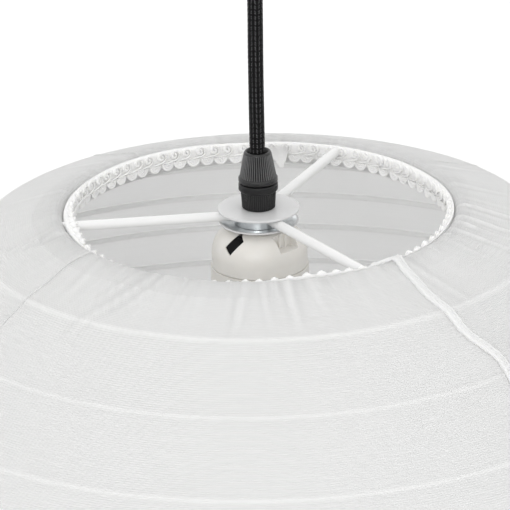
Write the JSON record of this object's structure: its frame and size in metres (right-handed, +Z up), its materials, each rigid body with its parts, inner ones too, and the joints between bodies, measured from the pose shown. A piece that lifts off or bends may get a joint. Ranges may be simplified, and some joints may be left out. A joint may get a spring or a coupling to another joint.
{
  "type": "globe pendant lampshade",
  "caption": "Collapsible white cloth globe pendant shade: loose hoops in sewn cloth hang from a three-arm spider clamped under a cord grip, with lamp holder and ceiling cup.",
  "frame": {"origin": "centre of the ceiling plate's top face, where it meets the ceiling", "axes": "+Z up into the ceiling; the cord and the shade hang down -Z; +X to the right of the view in which one spider arm points left"},
  "size_m": [0.454, 0.454, 0.5872],
  "materials": {
    "white_steel": "white powder coat, satin",
    "hoop_steel": "white coated spring wire",
    "binding_tape": "white cotton tape",
    "shade_cloth": "white ribbed polyester cloth",
    "gimp_braid": "off-white scroll braid",
    "white_disc": "white powder coat, satin",
    "dish_steel": "white outside, plain zinc inside",
    "zinc_steel": "zinc plated",
    "black_plastic": "black nylon, fine ribs",
    "cord_braid": "black textile braid",
    "holder_plastic": "off-white moulded thermoset, low sheen",
    "core_ceramic": "glazed white ceramic",
    "brass": "plain brass",
    "wire_cover": "wire insulation",
    "block_plastic": "white nylon",
    "cup_plastic": "white moulded plastic"
  },
  "bodies": {
    "ceiling": {"ceiling_plate": "zinc_steel", "anchor_block": "block_plastic", "anchor_screws": "zinc_steel", "terminal_block": "block_plastic", "block_screws": "brass", "ceiling_leads": "wire_cover", "cord": "cord_braid", "grip_collar": "black_plastic", "grip_insert": "black_plastic", "threaded_tube": "zinc_steel", "upper_disc": "white_disc", "lower_dish": "dish_steel", "holder_cap": "holder_plastic", "lock_nut": "zinc_steel", "holder_core": "core_ceramic", "terminal_screws": "brass", "holder_wires": "wire_cover", "centre_contact": "brass", "side_contact": "brass", "thread_sleeve": "brass"},
    "cup": {"ceiling_cup": "cup_plastic", "cup_bush": "cup_plastic", "bush_screw": "zinc_steel"},
    "grip_nut": {"grip_nut": "black_plastic"},
    "skirt": {"holder_skirt": "holder_plastic"},
    "shade": {"top_ring": "white_steel", "spider_hub": "white_steel", "spider_arms": "white_steel", "top_binding": "binding_tape", "top_gimp": "gimp_braid", "cloth_gore_1": "shade_cloth", "cloth_gore_2": "shade_cloth", "cloth_gore_3": "shade_cloth", "cloth_gore_4": "shade_cloth"},
    "hoop_01": {"hoop_01": "hoop_steel"},
    "hoop_02": {"hoop_02": "hoop_steel"},
    "hoop_03": {"hoop_03": "hoop_steel"},
    "hoop_04": {"hoop_04": "hoop_steel"},
    "hoop_05": {"hoop_05": "hoop_steel"},
    "hoop_06": {"hoop_06": "hoop_steel"},
    "hoop_07": {"hoop_07": "hoop_steel"},
    "hoop_08": {"hoop_08": "hoop_steel"},
    "hoop_09": {"hoop_09": "hoop_steel"},
    "hoop_10": {"hoop_10": "hoop_steel"},
    "hoop_11": {"hoop_11": "hoop_steel"},
    "hoop_12": {"hoop_12": "hoop_steel"},
    "hoop_13": {"hoop_13": "hoop_steel"},
    "hoop_14": {"hoop_14": "hoop_steel"},
    "hoop_15": {"hoop_15": "hoop_steel"},
    "bottom": {"bottom_ring": "white_steel", "bottom_binding": "binding_tape", "bottom_gimp": "gimp_braid"}
  },
  "joints": [
    {"name": "cup_slide", "type": "slide", "parent": "ceiling", "child": "cup", "axis": [0, 0, -1], "range_m": [0, 0.04]},
    {"name": "grip_nut_turn", "type": "hinge", "parent": "ceiling", "child": "grip_nut", "pos_m": [0, 0, -0.15], "axis": [0, 0, 1], "range_deg": [0, 720]},
    {"name": "skirt_turn", "type": "hinge", "parent": "ceiling", "child": "skirt", "pos_m": [0, 0, -0.2], "axis": [0, 0, 1], "range_deg": [0, 720]},
    {"name": "shade_swivel", "type": "hinge", "parent": "ceiling", "child": "shade", "pos_m": [0, 0, -0.17], "axis": [0, 0, 1], "continuous": true},
    {"name": "hoop_01_rise", "type": "slide", "parent": "shade", "child": "hoop_01", "axis": [0, 0, 1], "range_m": [0, 0.00765]},
    {"name": "hoop_02_rise", "type": "slide", "parent": "shade", "child": "hoop_02", "axis": [0, 0, 1], "range_m": [0, 0.02593]},
    {"name": "hoop_03_rise", "type": "slide", "parent": "shade", "child": "hoop_03", "axis": [0, 0, 1], "range_m": [0, 0.04548]},
    {"name": "hoop_04_rise", "type": "slide", "parent": "shade", "child": "hoop_04", "axis": [0, 0, 1], "range_m": [0, 0.06418]},
    {"name": "hoop_05_rise", "type": "slide", "parent": "shade", "child": "hoop_05", "axis": [0, 0, 1], "range_m": [0, 0.0833]},
    {"name": "hoop_06_rise", "type": "slide", "parent": "shade", "child": "hoop_06", "axis": [0, 0, 1], "range_m": [0, 0.10965]},
    {"name": "hoop_07_rise", "type": "slide", "parent": "shade", "child": "hoop_07", "axis": [0, 0, 1], "range_m": [0, 0.14025]},
    {"name": "hoop_08_rise", "type": "slide", "parent": "shade", "child": "hoop_08", "axis": [0, 0, 1], "range_m": [0, 0.17595]},
    {"name": "hoop_09_rise", "type": "slide", "parent": "shade", "child": "hoop_09", "axis": [0, 0, 1], "range_m": [0, 0.21165]},
    {"name": "hoop_10_rise", "type": "slide", "parent": "shade", "child": "hoop_10", "axis": [0, 0, 1], "range_m": [0, 0.24225]},
    {"name": "hoop_11_rise", "type": "slide", "parent": "shade", "child": "hoop_11", "axis": [0, 0, 1], "range_m": [0, 0.2686]},
    {"name": "hoop_12_rise", "type": "slide", "parent": "shade", "child": "hoop_12", "axis": [0, 0, 1], "range_m": [0, 0.28773]},
    {"name": "hoop_13_rise", "type": "slide", "parent": "shade", "child": "hoop_13", "axis": [0, 0, 1], "range_m": [0, 0.30643]},
    {"name": "hoop_14_rise", "type": "slide", "parent": "shade", "child": "hoop_14", "axis": [0, 0, 1], "range_m": [0, 0.32598]},
    {"name": "hoop_15_rise", "type": "slide", "parent": "shade", "child": "hoop_15", "axis": [0, 0, 1], "range_m": [0, 0.34425]},
    {"name": "shade_collapse", "type": "slide", "parent": "shade", "child": "bottom", "axis": [0, 0, 1], "range_m": [0, 0.3519], "deforming": ["cloth_gore_1", "cloth_gore_2", "cloth_gore_3", "cloth_gore_4"]}
  ],
  "couplings": [
    {"joint": "hoop_01_rise", "follows": "shade_collapse", "ratio": 0.021739},
    {"joint": "hoop_02_rise", "follows": "shade_collapse", "ratio": 0.073671},
    {"joint": "hoop_03_rise", "follows": "shade_collapse", "ratio": 0.12923},
    {"joint": "hoop_04_rise", "follows": "shade_collapse", "ratio": 0.18237},
    {"joint": "hoop_05_rise", "follows": "shade_collapse", "ratio": 0.23672},
    {"joint": "hoop_06_rise", "follows": "shade_collapse", "ratio": 0.31159},
    {"joint": "hoop_07_rise", "follows": "shade_collapse", "ratio": 0.39855},
    {"joint": "hoop_08_rise", "follows": "shade_collapse", "ratio": 0.5},
    {"joint": "hoop_09_rise", "follows": "shade_collapse", "ratio": 0.60145},
    {"joint": "hoop_10_rise", "follows": "shade_collapse", "ratio": 0.68841},
    {"joint": "hoop_11_rise", "follows": "shade_collapse", "ratio": 0.76328},
    {"joint": "hoop_12_rise", "follows": "shade_collapse", "ratio": 0.81763},
    {"joint": "hoop_13_rise", "follows": "shade_collapse", "ratio": 0.87077},
    {"joint": "hoop_14_rise", "follows": "shade_collapse", "ratio": 0.92633},
    {"joint": "hoop_15_rise", "follows": "shade_collapse", "ratio": 0.97826}
  ]
}
